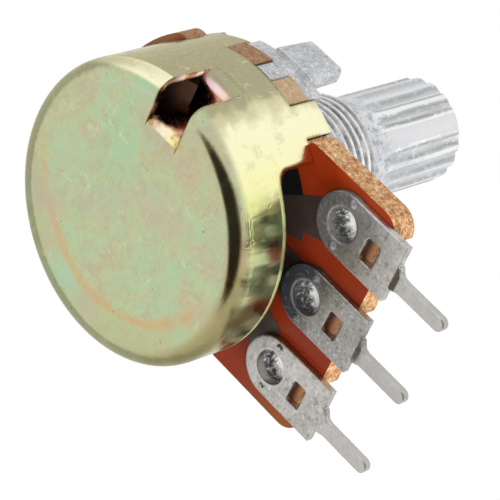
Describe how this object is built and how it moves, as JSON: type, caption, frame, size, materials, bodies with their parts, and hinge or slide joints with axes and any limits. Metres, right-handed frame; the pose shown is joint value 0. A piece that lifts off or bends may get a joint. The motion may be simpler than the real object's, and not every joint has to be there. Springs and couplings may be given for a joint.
{
  "type": "rotary potentiometer",
  "caption": "Panel-mounted rotary potentiometer with a round folded steel cover, threaded bush, knurled shaft and a row of flat soldering pins.",
  "frame": {"origin": "on the shaft's axis, in the front plate's mounting face", "axes": "+Z along the shaft, out of the panel; -Y the way the soldering pins point; +X from the first terminal to the third"},
  "size_m": [0.0163, 0.0245, 0.0237],
  "materials": {
    "chromated_steel": "yellow chromate over zinc",
    "phenolic_board": "glossy laminate",
    "carbon_print": "printed carbon",
    "silver_print": "printed silver",
    "lead_print": "printed, dark",
    "tinned_brass": "matte tin",
    "cast_zinc": "die-cast, granular",
    "turned_aluminium": "turned and knurled",
    "spring_steel": "blackened",
    "moulded_plastic": "moulded",
    "spring_bronze": "bright"
  },
  "bodies": {
    "housing": {"rear_cover": "chromated_steel", "terminal_board": "phenolic_board", "resistive_track": "carbon_print", "collector_ring": "silver_print", "lead_print_left": "lead_print", "lead_print_middle": "lead_print", "lead_print_right": "lead_print", "terminal_left": "tinned_brass", "terminal_middle": "tinned_brass", "terminal_right": "tinned_brass", "front_plate": "cast_zinc"},
    "shaft_and_wiper": {"shaft": "turned_aluminium", "retaining_ring": "spring_steel", "rotor": "moulded_plastic", "wiper_spring": "spring_bronze"}
  },
  "joints": [
    {"name": "shaft_turn", "type": "hinge", "parent": "housing", "child": "shaft_and_wiper", "pos_m": [0, 0, 0], "axis": [0, 0, 1], "range_deg": [-150, 150]}
  ]
}
